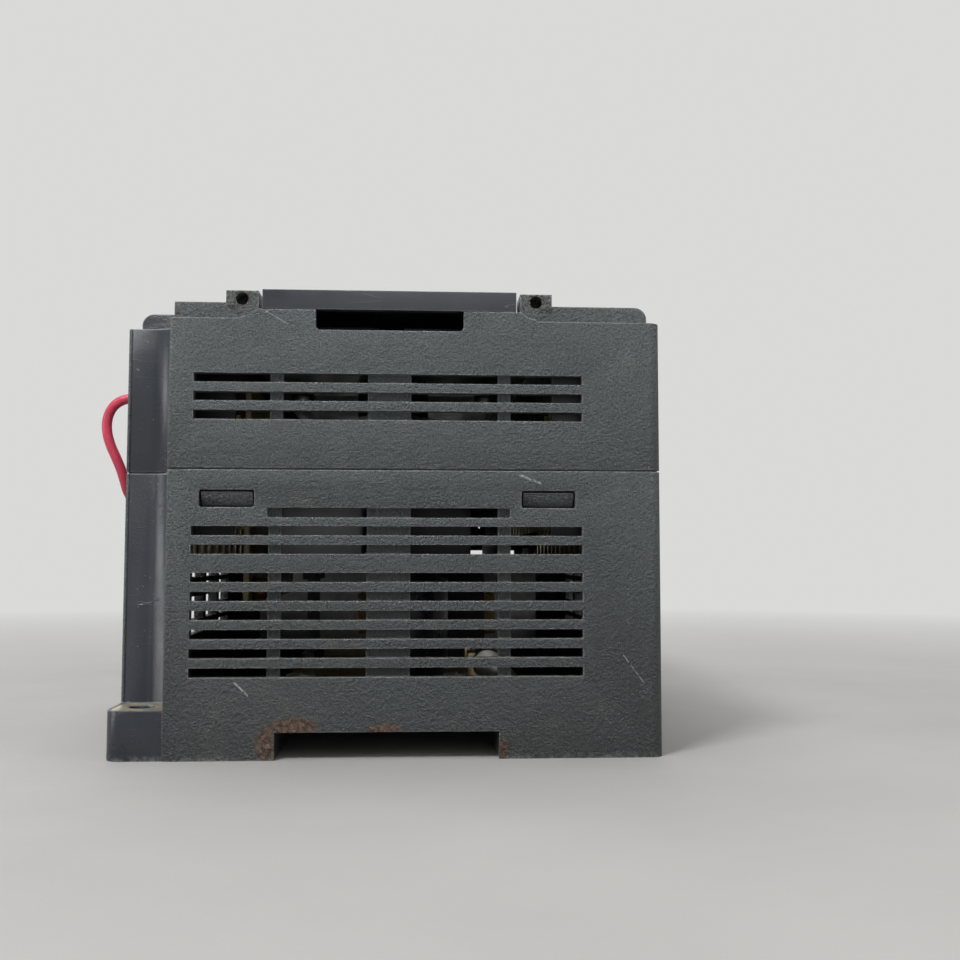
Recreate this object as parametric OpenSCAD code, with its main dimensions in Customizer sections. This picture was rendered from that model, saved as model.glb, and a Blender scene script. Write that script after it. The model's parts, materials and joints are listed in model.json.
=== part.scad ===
// Compact brick controller module, lying on its rear face.
// Origin: centre of the rear face. X runs across the two terminal sides,
// Y along the rail, Z from the rear face to the front cover.

/* [Case] */
// Size across the two terminal sides
case_w = 90; // [86:1:94]
// Size along the rail
case_l = 130; // [120:1:150]
// Height of the textured end panels
deck_z = 71.5; // [71:0.1:72]
// Height of the front cover
cover_z = 76.4; // [75.9:0.1:76.6]
// Height of the parting line
split_z = 46.9; // [46.5:0.1:47.3]
// Wall thickness
wall = 2; // [1.8:0.1:2.2]
// Radius of the upright outer edges
edge_r = 2; // [1:0.1:2.5]

/* [Mounting] */
// Width of the rail groove
groove_w = 36.1; // [35.6:0.1:36.4]
// Depth of the rail groove
groove_h = 4.4; // [4.2:0.1:4.6]
// Width of the corner notches
notch_w = 9.1; // [8.8:0.1:9.6]
// Length of the corner notches
notch_l = 10.3; // [10:0.1:10.6]
// Thickness of the mounting feet
foot_h = 8; // [7:0.1:9]
// Radius of the mounting holes
foot_hole_r = 2.25; // [2:0.05:2.5]

/* [Vents] */
// Half width of the long end vents
vent_half = 31.8; // [30:0.1:32]
// Height of one vent slot
vent_h = 1.5; // [1.3:0.05:1.6]
// Spacing of the vent rows
vent_pitch = 3.05; // [3:0.01:3.1]
// Length of one side vent
side_vent_l = 13; // [11:0.5:14]
// Spacing of the side vents along the case
side_vent_pitch = 16.6; // [16:0.1:17]

/* [Terminals] */
// Spacing of the terminals in one row
terminal_pitch = 7.5; // [7.4:0.05:7.6]
// Terminals in one row
terminal_count = 14; // [10:1:14]
// Radius of a terminal screw head
screw_head_r = 2.8; // [2.5:0.1:2.9]

/* [Hidden] */
$fn = 48;

// Case
half_w = case_w / 2;
half_l = case_l / 2;
groove_half = groove_w / 2;
notch_x = half_w - notch_w;
notch_y = half_l - notch_l;
notch_r = 5;
notch_edge_r = 0.7;
shelf_inset = 0.7;
split_gap = 0.3;
lip_drop = 1.2;
lip_fit = 0.15;
lip_t = 1;
groove_depth = 0.45;
lower_top = split_z - split_gap;
foot_setback = 0.3;
foot_hole_x = half_w - 5;
foot_hole_y = half_l - 5;
post_x = 39.6;
post_y = 49;
post_r = 3;
post_bore_r = 1.25;
tunnel_z = groove_h + wall;
hook_reach = 1.5;
hook_t = 2.4;

// End vents: lower edges of the rows
rib_setback = 1;
rib_edges = [[-vent_half, -19.5], [-17.4, -3.55], [3.55, 17.9], [20, vent_half]];
lower_rows = [for (i = [0:5]) 13.15 + i * vent_pitch];
middle_rows = [32.95, 35.95];
short_row_z = 38.85;
upper_rows = [for (i = [0:2]) 54.85 + i * vent_pitch];
side_rows = [for (i = [1:5]) 13.15 + i * vent_pitch];
side_vent_h = 2;

// Snap windows in the end walls and the tongues that fill them
window_x = 26.2;
window_w = 8.9;
window_z = 40.5;
window_h = 2.85;
tongue_gap = 0.35;

// Front of the upper case
rise_half = 21.15;
rise_z = 73.05;
lug_x = 21.6;
lug_w = 5.3;
lug_z = 76.2;
lug_l = 6;
lug_setback = 0.6;
pivot_x = 24.25;
pivot_z = 74.85;
pivot_r = 1.05;
pivot_depth = 4;
bump_x = 26.15;
bump_z = 73.95;
bump_r = 0.55;
shelf_end = 42.8;
shelf_z = 74.2;
shelf_wall = 2.6;
shelf_setback = 0.4;
sill_z = 62.5;
cable_half = 12.2;
cable_z = 69.7;
trough_in = 27;
trough_out = 42.8;
trough_near = 61.4;
trough_far = notch_y - 3.2;
bay_half = 17;
extension_bay = [-62.4, -30];
port_bay = [30, 62.4];
lamp_bay = [-18, 18];

// Covers on the raised centre
cover_half = 20.95;
skirt_t = 1.6;
flap_y = 26;
flap_end = half_l - 0.15;
hinge_z = cover_z - 1.5;
hinge_pin_r = 0.75;
hinge_fit = 0.06;
knuckle_r = 1.5;
knuckle_x = 10;
knuckle_l = 2.7;
knuckle_gap = 0.3;
hinge_room = 0.4;
flap_edge = flap_y + knuckle_r + hinge_room;
cover_edge = flap_y - 2.4;

// Terminal blocks, written for the +X side and turned half round for the other
block_in = trough_in + 0.2;
block_out = trough_out - 0.2;
block_z = 59;
block_far = trough_far - 0.2;
block_near = trough_near - 0.2;
step_x = 35.1;
inner_row_z = 69;
outer_row_z = 63.7;
fin_t = 1;
fin_h = 3.4;
first_terminal_y = -57.2;
row_x = [31.6, 38.8];
row_z = [inner_row_z, outer_row_z];
row_shift = [terminal_pitch / 2, 0];
tab_w = 5.8;
tab_t = 0.8;
plate_w = 5.6;
plate_t = 0.9;
screw_shank_r = 1.45;
screw_hole_r = 1.6;
screw_depth = 6.5;
skirt_wall = 1;
skirt_out = 41.6;
skirt_z = 35;

// Boards: lower faces
board_t = 1.6;
main_board_z = 64.8;
io_board_z = 30.8;
power_board_z = 8.2;
main_top = main_board_z + board_t;
main_post_x = 18.2;
main_post_y = 24;
main_bore_r = 1;
io_top = io_board_z + board_t;
power_top = power_board_z + board_t;
interface_x = -24.7;
interface_t = 1;
interface_y = [-56, 12];
interface_z = [24.5, 62];
lamp_count = 12;

// Controls under the port flap
switch_at = [8, 50];
lever_travel = 1.5;
trimmer_x = [3, 10];
trimmer_y = 39;
trimmer_r = 1.6;
trimmer_fit = 0.06;

// Rail latches, written for the one nearer the notched -Y end
latch_y = 37;
latch_w = 14;
latch_t = 3.4;
latch_tip_x = 16.85;
latch_end_x = 44.6;
runner_x = latch_tip_x + 3;
latch_clear = 0.3;
latch_base = 0.25;
runner_z = 1.3;
rail_seat_z = 2.6;
spring_window = [28.8, 40.6];
spring_x = [29, 38.4];
spring_r = 1.1;
spring_wire_r = 0.22;
spring_turns = 9;
spring_z = 2.1;

// Jumper wire: from one fork lug out over the sill, down and back to the next
wire_r = 1;
wire_sides = 8;
jumper_terminals = [8, 10];
lug_t = 0.8;
sleeve_r = 1.7;
sleeve_root_x = 43.2;
sleeve_tip_x = 47.5;
wire_route = [
    [-47.5, -17.8, 64.6], [-50, -17.8, 64.7], [-52.5, -17.8, 64.8], [-54.8, -17.8, 64.5],
    [-56.7, -17.8, 63.5], [-57.9, -17.8, 61.8], [-58.4, -17.8, 59.6], [-58.2, -17.8, 57.2],
    [-57.5, -17.7, 54.9], [-56.5, -17.5, 52.6], [-55.6, -17.1, 50.3], [-55, -16.4, 48],
    [-54.6, -15.3, 45.9], [-54, -13.6, 44.3], [-53.3, -11.5, 43.4], [-52.5, -9.2, 43.4],
    [-51.8, -7.1, 44.3], [-51.2, -5.4, 45.9], [-50.8, -4.2, 48], [-50.8, -3.4, 50.4],
    [-51.1, -3, 52.9], [-51.6, -2.8, 55.3], [-52.1, -2.8, 57.6], [-52.4, -2.8, 59.9],
    [-51.9, -2.8, 61.9], [-50.8, -2.8, 63.5], [-49.3, -2.8, 64.4], [-47.5, -2.8, 64.6],
];

module half_turn() {
    rotate([0, 0, 180]) children();
}

module both_ends() {
    children();
    half_turn() children();
}

module block(x, y, z) {
    translate([x[0], y[0], z[0]]) cube([x[1] - x[0], y[1] - y[0], z[1] - z[0]]);
}

module rounded_rect(w, l, r) {
    square([w - 2 * r, l], center = true);
    square([w, l - 2 * r], center = true);
    for (x = [-1, 1], y = [-1, 1])
        translate([x * (w / 2 - r), y * (l / 2 - r)]) circle(r);
}

module notch_area(grow) {
    reach = 3;
    w = notch_w + grow + reach;
    l = notch_l + grow + reach;
    r = notch_r + grow;
    translate([-half_w - reach, -half_l - reach]) {
        square([w - r, l]);
        square([w, l - r]);
        translate([w - r, l - r]) circle(r);
    }
}

// What rounding takes off an outward corner at the origin, its faces running to +X and +Y
module corner_waste(r) {
    difference() {
        translate([-1, -1]) square(r + 1);
        translate([r, r]) circle(r);
    }
}

// Plan of the case, drawn in by the given amount
module plan(inset) {
    difference() {
        rounded_rect(case_w - 2 * inset, case_l - 2 * inset, max(edge_r - inset, 0.5));
        both_ends() {
            notch_area(inset);
            if (inset == 0) {
                translate([-notch_x, -half_l]) corner_waste(notch_edge_r);
                translate([-half_w, -notch_y]) corner_waste(notch_edge_r);
            }
        }
    }
}

// A bar along X with rounded ends, cut through the wall at the -Y end
module slot_x(x0, x1, z0, h, depth, r = 0.35) {
    translate([0, -half_l + depth, 0]) rotate([90, 0, 0])
        linear_extrude(depth + 1)
            translate([(x0 + x1) / 2, z0 + h / 2]) rounded_rect(x1 - x0, h, r);
}

module end_vent(z0, h) {
    slot_x(-vent_half, vent_half, z0, h, rib_setback);
    for (e = rib_edges)
        block(e, [-half_l, -half_l + wall + 0.6], [z0, z0 + h]);
}

module side_vents() {
    for (z = side_rows, i = [-2:2])
        block([-half_w - 1, -half_w + wall + 0.5],
              [i * side_vent_pitch - side_vent_l / 2, i * side_vent_pitch + side_vent_l / 2],
              [z - 0.25, z - 0.25 + side_vent_h]);
}

module foot_plan() {
    intersection() {
        rounded_rect(case_w, case_l - 2 * foot_setback, 2.6);
        translate([-half_w, -half_l]) square([notch_w + 1, notch_l + 1]);
    }
}

module lower_case_solid() {
    linear_extrude(lower_top) plan(0);
    both_ends() linear_extrude(foot_h) foot_plan();
}

module lower_cavity() {
    difference() {
        translate([0, 0, wall]) linear_extrude(lower_top) plan(wall);
        block([-groove_half - wall, groove_half + wall], [-half_l, half_l], [0, tunnel_z]);
        for (y = [-latch_y, latch_y])
            block([groove_half, half_w], [y - latch_w / 2 - 2, y + latch_w / 2 + 2],
                  [0, latch_t + 2.2]);
        both_ends() {
            for (x = [-post_x, post_x])
                translate([x, -post_y, 0]) cylinder(h = io_board_z, r = post_r);
            for (x = [-16, 12])
                translate([x, -44, 0]) cylinder(h = power_board_z, r = post_r);
        }
    }
}

// Fixed hooks that hold the upper flange of the rail
module rail_hooks() {
    for (y = [-34, -6, 22])
        block([-groove_half - 0.5, -groove_half + hook_reach], [y, y + 12], [0, hook_t]);
}

// Channel under the floor in which a rail latch slides, narrower below to carry its runners
module latch_channel() {
    y = [-latch_y - latch_w / 2 - latch_clear, -latch_y + latch_w / 2 + latch_clear];
    block([runner_x - 0.1, half_w + 1], y, [runner_z - latch_clear, latch_t + latch_clear]);
    block([groove_half - 1, half_w + 1], y + [1, -1], [-1, latch_t]);
}

// Peg between the floor and the end of a latch spring
module spring_peg() {
    block([spring_x[1], spring_x[1] + 1.4], [-latch_y - 1.3, -latch_y + 1.3], [0.4, latch_t + 1]);
}

module lower_case() color([0.25, 0.27, 0.27]) {
    difference() {
        lower_case_solid();
        lower_cavity();
        block([-groove_half, groove_half], [-half_l - 1, half_l + 1], [-1, groove_h]);
        both_ends() {
            for (z = concat(lower_rows, middle_rows)) end_vent(z, vent_h);
            slot_x(-19.65, 19.9, short_row_z, 1.6, rib_setback);
            for (e = [[-17.4, -3.55], [3.55, 17.9]])
                block(e, [-half_l, -half_l + wall + 0.6], [short_row_z, short_row_z + 1.6]);
            for (x = [-window_x, window_x])
                slot_x(x - window_w / 2, x + window_w / 2, window_z, window_h, wall + 0.5);
            side_vents();
            translate([-foot_hole_x, -foot_hole_y, -1]) cylinder(h = foot_h + 2, r = foot_hole_r);
            for (x = [-post_x, post_x])
                translate([x, -post_y, io_board_z - 8]) cylinder(h = 9, r = post_bore_r);
            for (x = [-16, 12])
                translate([x, -44, power_board_z - 1.5]) cylinder(h = 2, r = post_bore_r);
        }
        latch_channel();
        mirror([0, 1, 0]) latch_channel();
    }
    rail_hooks();
    spring_peg();
    mirror([0, 1, 0]) spring_peg();
}

// Outline of the end wall above the deck, seen along Y, for the +X half
module shelf_profile() {
    square([shelf_end - 2, shelf_z - 60]);
    square([shelf_end, shelf_z - 62]);
    translate([shelf_end - 2, shelf_z - 62]) circle(2);
}

module end_shelf(x0, y0, t) {
    translate([0, y0 + t, 0]) rotate([90, 0, 0]) linear_extrude(t)
        intersection() {
            translate([0, 60]) shelf_profile();
            translate([x0, 69]) square([50, 10]);
        }
}

module lug(side) {
    x0 = side > 0 ? lug_x : -lug_x - lug_w;
    block([x0, x0 + lug_w], [-half_l + lug_setback, -half_l + lug_setback + lug_l], [68, lug_z]);
}

module end_rise() {
    // textured panel tongue below the cover, with its rounded shoulders
    translate([0, -half_l + 1.4, 0]) rotate([90, 0, 0]) linear_extrude(1.4)
        difference() {
            translate([-pivot_x, 68]) square([2 * pivot_x, rise_z - 68]);
            for (s = [-1, 1]) translate([s * pivot_x, pivot_z]) circle(3);
        }
}

module upper_case_solid() {
    difference() {
        translate([0, 0, split_z]) linear_extrude(deck_z - split_z) plan(0);
        translate([0, 0, split_z - 1]) linear_extrude(deck_z - wall - split_z + 1) plan(wall);
        both_ends() {
            block([trough_in, trough_out], [-trough_near, trough_far], [60, 80]);
            // wire exit: the long wall is low between the end walls
            block([trough_out - 1, half_w + 1], [-trough_near, trough_far], [sill_z, 80]);
        }
    }
    block([-rise_half, rise_half], [-half_l + 1, half_l - 1], [deck_z - wall, rise_z]);
    for (y = [-flap_y, flap_y]) hinge_bar(y);
    for (x = [-main_post_x, main_post_x], y = [-main_post_y, main_post_y])
        translate([x, y, main_top]) cylinder(h = deck_z - main_top - 1, r = 2.4);
    both_ends() {
        end_rise();
        lug(1);
        lug(-1);
        end_shelf(lug_x + 1, -half_l + lug_setback, shelf_wall);
        mirror([1, 0, 0]) intersection() {
            end_shelf(lug_x + 1, -half_l + lug_setback, shelf_wall);
            block([0, notch_x - shelf_inset], [-half_l, 0], [69, 80]);
        }
        mirror([1, 0, 0]) end_shelf(notch_x - 3, -notch_y + shelf_setback, shelf_wall);
    }
    lip();
}

// Bar that carries the hinge pin of a flap, round on top so that the flap clears it
module hinge_bar(y) {
    translate([-cover_half, y, hinge_z]) rotate([0, 90, 0]) cylinder(h = 2 * cover_half, r = knuckle_r);
    block([-cover_half, cover_half], [y - knuckle_r, y + knuckle_r], [deck_z - wall, hinge_z]);
}

// Inner lip that closes the parting line
module lip() {
    translate([0, 0, lower_top - lip_drop]) linear_extrude(3) difference() {
        plan(wall + lip_fit);
        plan(wall + lip_fit + lip_t);
    }
    translate([0, 0, split_z]) linear_extrude(3 - lip_drop - split_gap) difference() {
        plan(wall - 0.5);
        plan(wall + lip_fit + lip_t);
    }
    // bead that shuts the gap between the shells, a little way in
    translate([0, 0, lower_top + 0.05]) linear_extrude(split_gap + 0.2) difference() {
        plan(groove_depth);
        plan(wall + lip_fit + 0.3);
    }
}

// Tongue of the upper case in a snap window: a lit strip above a face that slopes in
module snap_tongue(x) {
    w = window_w - 2 * tongue_gap;
    low = window_z + tongue_gap;
    high = window_z + window_h - tongue_gap;
    root = -half_l + wall + 0.3;
    face = -half_l + 0.45;
    block([x - w / 2, x + w / 2], [-half_l + wall + 0.15, -half_l + wall + 1.4],
          [window_z - 1, split_z + 3]);
    translate([x + w / 2, 0, 0]) rotate([0, -90, 0]) linear_extrude(w)
        polygon([[low, root], [low, face + 0.9], [high - 0.6, face], [high, face], [high, root]]);
}

module upper_openings() {
    block([-bay_half, bay_half], extension_bay, [60, 80]);
    block([-bay_half, bay_half], port_bay, [60, 80]);
    block([-bay_half, bay_half], lamp_bay, [60, 80]);
    both_ends() {
        for (z = upper_rows) end_vent(z, vent_h);
        for (x = [-pivot_x, pivot_x])
            translate([x, -half_l, pivot_z]) rotate([-90, 0, 0])
                cylinder(h = lug_setback + pivot_depth, r = pivot_r);
    }
    slot_x(-cable_half, cable_half, cable_z, rise_z - cable_z + 1, 4, 0.8);
    for (x = [-main_post_x, main_post_x], y = [-main_post_y, main_post_y])
        translate([x, y, main_top - 1]) cylinder(h = 4.6, r = main_bore_r);
    // seats of the flap knuckles, and the bores of their pins
    for (y = [-flap_y, flap_y]) {
        for (s = [-1, 1])
            block([s * knuckle_x - knuckle_l - knuckle_gap, s * knuckle_x + knuckle_l + knuckle_gap],
                  [y - 3.4, y + 2.2], [hinge_z - knuckle_r - hinge_room, 80]);
        hinge_pin(y);
    }
}

module upper_case() color([0.25, 0.27, 0.27]) {
    difference() {
        upper_case_solid();
        upper_openings();
    }
    both_ends() {
        for (x = [-window_x, window_x]) snap_tongue(x);
        for (s = [-1, 1])
            translate([s * bump_x, -half_l + lug_setback + 0.1, bump_z]) rotate([90, 0, 0])
                cylinder(h = 0.4, r = bump_r);
    }
}

// Raised centre cover between the two flaps
module front_cover() color([0.23, 0.25, 0.28]) {
    difference() {
        block([-cover_half, cover_half], [-cover_edge, cover_edge], [rise_z, cover_z]);
        block([-cover_half + 1.6, cover_half - 1.6], [-cover_edge + 2, cover_edge - 2],
              [rise_z - 1, cover_z - 1.4]);
        block([-14.1, 14.1], [-13.1, 7.1], [cover_z - 0.6, cover_z + 1]);
        for (x = [-17, 17]) block([x - 1.6, x + 1.6], [-16.1, 16.1], [rise_z, cover_z + 1]);
    }
}

module name_plate() color([0.55, 0.56, 0.56])
    block([-14, 14], [-13, 7], [cover_z - 0.6, cover_z - 0.1]);

module lamp_lenses() color([0.75, 0.7, 0.6])
    for (x = [-17, 17]) block([x - 1.5, x + 1.5], [-16, 16], [rise_z + 0.6, cover_z - 0.15]);

// A flap over one end bay, hinged at its inner edge; drawn for the -Y end
module flap() {
    skirt_z = [rise_z + 0.1, cover_z];
    skirt_y = [-flap_end, -flap_edge - 1];
    difference() {
        union() {
            block([-cover_half, cover_half], [-flap_end, -flap_edge], [cover_z - skirt_t, cover_z]);
            for (x = [-cover_half, cover_half - skirt_t]) block([x, x + skirt_t], skirt_y, skirt_z);
            block([-cover_half, cover_half], [-flap_end, -flap_end + skirt_t], skirt_z);
            for (s = [-1, 1]) translate([s * knuckle_x - knuckle_l, -flap_y, hinge_z]) {
                rotate([0, 90, 0]) cylinder(h = 2 * knuckle_l, r = knuckle_r);
                translate([0, -3, -0.1]) cube([2 * knuckle_l, 3, knuckle_r + 0.1]);
            }
        }
        translate([-25, -flap_y, hinge_z]) rotate([0, 90, 0])
            cylinder(h = 50, r = hinge_pin_r + hinge_fit);
    }
}

module hinge_pin(y) {
    translate([-20, y, hinge_z]) rotate([0, 90, 0]) cylinder(h = 40, r = hinge_pin_r);
}

module extension_flap() color([0.23, 0.25, 0.28]) flap();

module extension_flap_pin() color([0.7, 0.7, 0.72]) hinge_pin(-flap_y);

module port_flap() color([0.23, 0.25, 0.28]) mirror([0, 1, 0]) flap();

module port_flap_pin() color([0.7, 0.7, 0.72]) hinge_pin(flap_y);

// Y of one terminal on the +X side; row 0 is the inner, higher row
function terminal_y(row, i) = first_terminal_y + i * terminal_pitch + row_shift[row];

// Children are drawn at each terminal, raised by lift where a jumper fork is clamped
module each_terminal(lift = 0) {
    for (row = [0, 1], i = [0:terminal_count - 1]) {
        forked = row == 1 && len(search(i, jumper_terminals)) > 0;
        translate([row_x[row], terminal_y(row, i), row_z[row] + (forked ? lift : 0)]) children();
    }
}

module terminal_block() {
    difference() {
        union() {
            block([block_in, step_x], [-block_near, block_far], [block_z, inner_row_z]);
            block([step_x, block_out], [-block_near, block_far], [block_z, outer_row_z]);
            block([block_in, block_in + 1], [-block_near, block_far], [inner_row_z, inner_row_z + fin_h]);
            for (y = [-block_near, block_far - skirt_wall])
                block([block_in, skirt_out], [y, y + skirt_wall], [skirt_z, block_z + 1]);
            for (row = [0, 1], i = [0:terminal_count]) {
                y = terminal_y(row, i) - terminal_pitch / 2;
                block(row == 0 ? [block_in, step_x] : [step_x - 0.5, block_out],
                      [y - fin_t / 2, y + fin_t / 2], [row_z[row] - 1, row_z[row] + fin_h]);
            }
        }
        each_terminal() {
            translate([0, 0, -screw_depth]) cylinder(h = 20, r = screw_hole_r);
            // seat and leg slot of the contact
            translate([-3.1, -tab_w / 2 - 0.1, -0.3]) cube([6.2, tab_w + 0.2, 0.4]);
            translate([-3.1, -1, -12]) cube([1.1, 2, 13]);
        }
    }
}

module terminal_screws(lift = 0) {
    each_terminal(lift) translate([0, 0, tab_t + plate_t - 0.3]) {
        difference() {
            union() {
                cylinder(h = 2, r = screw_head_r);
                translate([0, 0, -5.5]) cylinder(h = 6, r = screw_shank_r);
            }
            for (a = [0, 90]) rotate([0, 0, a]) translate([-1.7, -0.35, 1]) cube([3.4, 0.7, 2]);
        }
    }
}

module clamp_plates(lift = 0) {
    each_terminal(lift) translate([0, 0, tab_t - 0.3]) difference() {
        translate([-plate_w / 2, -plate_w / 2, 0]) cube([plate_w, plate_w, plate_t]);
        translate([0, 0, -1]) cylinder(h = 4, r = screw_hole_r);
    }
}

// Contacts under the plates, with a leg down to the wiring board
module terminal_tabs() {
    each_terminal() translate([0, 0, -0.3]) difference() {
        union() {
            translate([-3, -tab_w / 2, 0]) cube([6, tab_w, tab_t]);
            translate([-3, -0.9, io_top - outer_row_z + 0.3]) cube([0.9, 1.8, outer_row_z - io_top]);
        }
        translate([0, 0, -1]) cylinder(h = 4, r = screw_hole_r);
    }
}

// Blank strip on the ridge behind the inner row
module marker_strip() {
    block([block_in, step_x - 6.9], [-block_near, block_far],
          [inner_row_z + fin_h, inner_row_z + fin_h + 0.6]);
}

module output_marker_strip() color([0.8, 0.8, 0.76]) marker_strip();
module input_marker_strip() color([0.8, 0.8, 0.76]) half_turn() marker_strip();
module output_terminal_block() color([0.09, 0.09, 0.1]) terminal_block();
module input_terminal_block() color([0.09, 0.09, 0.1]) half_turn() terminal_block();
module output_terminal_screws() color([0.75, 0.75, 0.72]) terminal_screws();
module input_terminal_screws() color([0.75, 0.75, 0.72]) half_turn() terminal_screws(lug_t);
module output_clamp_plates() color([0.75, 0.75, 0.72]) clamp_plates();
module input_clamp_plates() color([0.75, 0.75, 0.72]) half_turn() clamp_plates(lug_t);
module output_terminal_tabs() color([0.75, 0.65, 0.4]) terminal_tabs();
module input_terminal_tabs() color([0.75, 0.65, 0.4]) half_turn() terminal_tabs();

// Two crimped forks under the clamp plates of the -X side, with insulating sleeves
module jumper_lugs() color([0.75, 0.15, 0.2]) half_turn() for (i = jumper_terminals)
    translate([0, terminal_y(1, i), outer_row_z + tab_t - 0.3]) {
        difference() {
            union() {
                translate([row_x[1] - 2.6, -2.6, 0]) cube([5.2, 5.2, lug_t]);
                translate([row_x[1], -1.1, 0]) cube([sleeve_root_x - row_x[1] + 0.5, 2.2, lug_t]);
            }
            translate([row_x[1], 0, -1]) cylinder(h = 4, r = screw_hole_r);
            translate([row_x[1] - 4, -screw_hole_r, -1]) cube([4, 2 * screw_hole_r, 4]);
        }
        translate([sleeve_root_x, 0, lug_t / 2]) rotate([0, 90, 0])
            cylinder(h = sleeve_tip_x - sleeve_root_x, r = sleeve_r);
    }

// Direction of the route at point i
function along(p, i) =
    let (a = p[max(i - 1, 0)], b = p[min(i + 1, len(p) - 1)]) (b - a) / norm(b - a);

// The wire leaves and enters the sleeves straight along X
function heading(p, i) = i == 0 ? [-1, 0, 0] : i == len(p) - 1 ? [1, 0, 0] : along(p, i);

// One ring of wire_sides points about point i, square to the route
function ring(p, i) =
    let (t = heading(p, i),
         side = cross([0, 1, 0], t),
         u = side / norm(side),
         v = cross(t, u))
    [for (k = [0:wire_sides - 1])
        p[i] + wire_r * (cos(k * 360 / wire_sides) * u + sin(k * 360 / wire_sides) * v)];

module red_jumper_wire() color([0.72, 0.1, 0.2]) {
    n = len(wire_route);
    m = wire_sides;
    points = [for (i = [0:n - 1]) each ring(wire_route, i)];
    sides = [for (i = [0:n - 2], k = [0:m - 1])
        [i * m + k, i * m + (k + 1) % m, (i + 1) * m + (k + 1) % m, (i + 1) * m + k]];
    caps = [[for (k = [m - 1:-1:0]) k], [for (k = [0:m - 1]) (n - 1) * m + k]];
    polyhedron(points, concat(sides, caps));
}

// Boards
module main_board() color([0.1, 0.3, 0.16]) difference() {
    block([-23, 23], [-61, 61], [main_board_z, main_top]);
    for (x = [-main_post_x, main_post_x], y = [-main_post_y, main_post_y])
        translate([x, y, main_board_z - 1]) cylinder(h = 4, r = 1.2);
}

module io_board() color([0.45, 0.42, 0.2]) difference() {
    translate([0, 0, io_board_z]) linear_extrude(board_t) plan(wall + 0.8);
    both_ends() for (x = [-post_x, post_x])
        translate([x, -post_y, io_board_z - 1]) cylinder(h = 4, r = 1.7);
    block([interface_x - 0.15, interface_x + interface_t + 0.15], interface_y + [-0.2, 0.2],
          [io_board_z - 1, io_top + 1]);
}

module power_board() color([0.45, 0.42, 0.2]) difference() {
    block([-20, 24], [-56, 56], [power_board_z, power_top]);
    both_ends() for (x = [-16, 12])
        translate([x, -44, power_board_z - 1]) cylinder(h = 4, r = 1.4);
}

// Upright board joining the wiring board to the logic board
module interface_board() color([0.72, 0.6, 0.25])
    block([interface_x, interface_x + interface_t], interface_y, [interface_z[0], interface_z[1]]);

module pin_row(x, y, count, z) {
    for (i = [0:count - 1])
        block([x - 0.3, x + 0.3], [y + i * 2.54 - 0.3, y + i * 2.54 + 0.3], z);
}

// Headers between the wiring board and the logic board, and up from the power board
module board_headers() color([0.12, 0.12, 0.12]) {
    for (z = [io_top, main_board_z - 3])
        block([20.6, 22.8], [-25.6, 25.6], [z, z + 3]);
    pin_row(21.7, -24.13, 20, [io_top + 3, main_board_z - 3]);
    block([-19, -16.5], [-13, 13], [power_top, power_top + 3]);
    block([-19, -16.5], [-13, 13], [io_board_z - 3, io_board_z]);
    pin_row(-17.75, -11.43, 10, [power_top + 3, io_board_z - 3]);
}

module pan_screw(head_r, head_h, shank_r, shank_h) {
    difference() {
        cylinder(h = head_h, r = head_r);
        for (a = [0, 90]) rotate([0, 0, a])
            translate([-head_r * 0.6, -0.3, head_h / 2]) cube([head_r * 1.2, 0.6, head_h]);
    }
    translate([0, 0, -shank_h]) cylinder(h = shank_h, r = shank_r);
}

module board_screws() color([0.75, 0.75, 0.72]) {
    both_ends() {
        for (x = [-post_x, post_x])
            translate([x, -post_y, io_top]) pan_screw(2.5, 1.8, post_bore_r - 0.05, 7);
        for (x = [-16, 12])
            translate([x, -44, power_top]) pan_screw(2.6, 1.8, post_bore_r - 0.05, 2.6);
    }
    for (x = [-main_post_x, main_post_x], y = [-main_post_y, main_post_y])
        translate([x, y, main_board_z]) rotate([180, 0, 0]) pan_screw(2.2, 1.6, main_bore_r - 0.05, 4);
}

module chip(x, y, w, l, h) {
    block([x - w / 2, x + w / 2], [y - l / 2, y + l / 2], [main_top + 0.3, main_top + 0.3 + h]);
}

// Gull-wing legs along both long sides of a chip
module chip_legs(x, y, w, l, pitch) {
    n = floor((l - 1) / pitch);
    for (s = [-1, 1], i = [0:n])
        translate([x + s * w / 2, y + (i - n / 2) * pitch, main_top + 0.35])
            cube([1.8, pitch * 0.45, 0.7], center = true);
}

module processor_chip() color([0.06, 0.06, 0.06]) {
    chip(0, 0, 20, 20, 1.7);
    chip_legs(0, 0, 21.8, 20, 1.3);
}

module memory_chips() color([0.06, 0.06, 0.06]) for (y = [-20, 19]) {
    chip(0, y, 9, 13, 1.6);
    chip_legs(0, y, 10.8, 13, 1.6);
}

function lamp_y(i) = -14.95 + i * 2.6;

module status_lamps() color([0.85, 0.8, 0.5]) for (x = [-17, 17], i = [0:lamp_count - 1])
    translate([x, lamp_y(i), main_top + 0.4]) cube([1.6, 1.2, 0.8], center = true);

module backup_capacitor() color([0.15, 0.3, 0.5])
    translate([0, -35, main_board_z - 6]) cylinder(h = 6, r = 6.7);

module extension_connector() color([0.08, 0.08, 0.09]) {
    difference() {
        block([-14, 14], [-53, -44], [main_top, main_top + 6.2]);
        block([-13, 13], [-52, -45], [main_top + 1.5, main_top + 8]);
        block([-2.2, 2.2], [-54, -51], [main_top + 2, main_top + 8]);
    }
    for (i = [0:8], y = [-49.77, -47.23])
        translate([(i - 4) * 2.54, y, main_top + 3.2]) cube([0.64, 0.64, 3.5], center = true);
}

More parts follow.
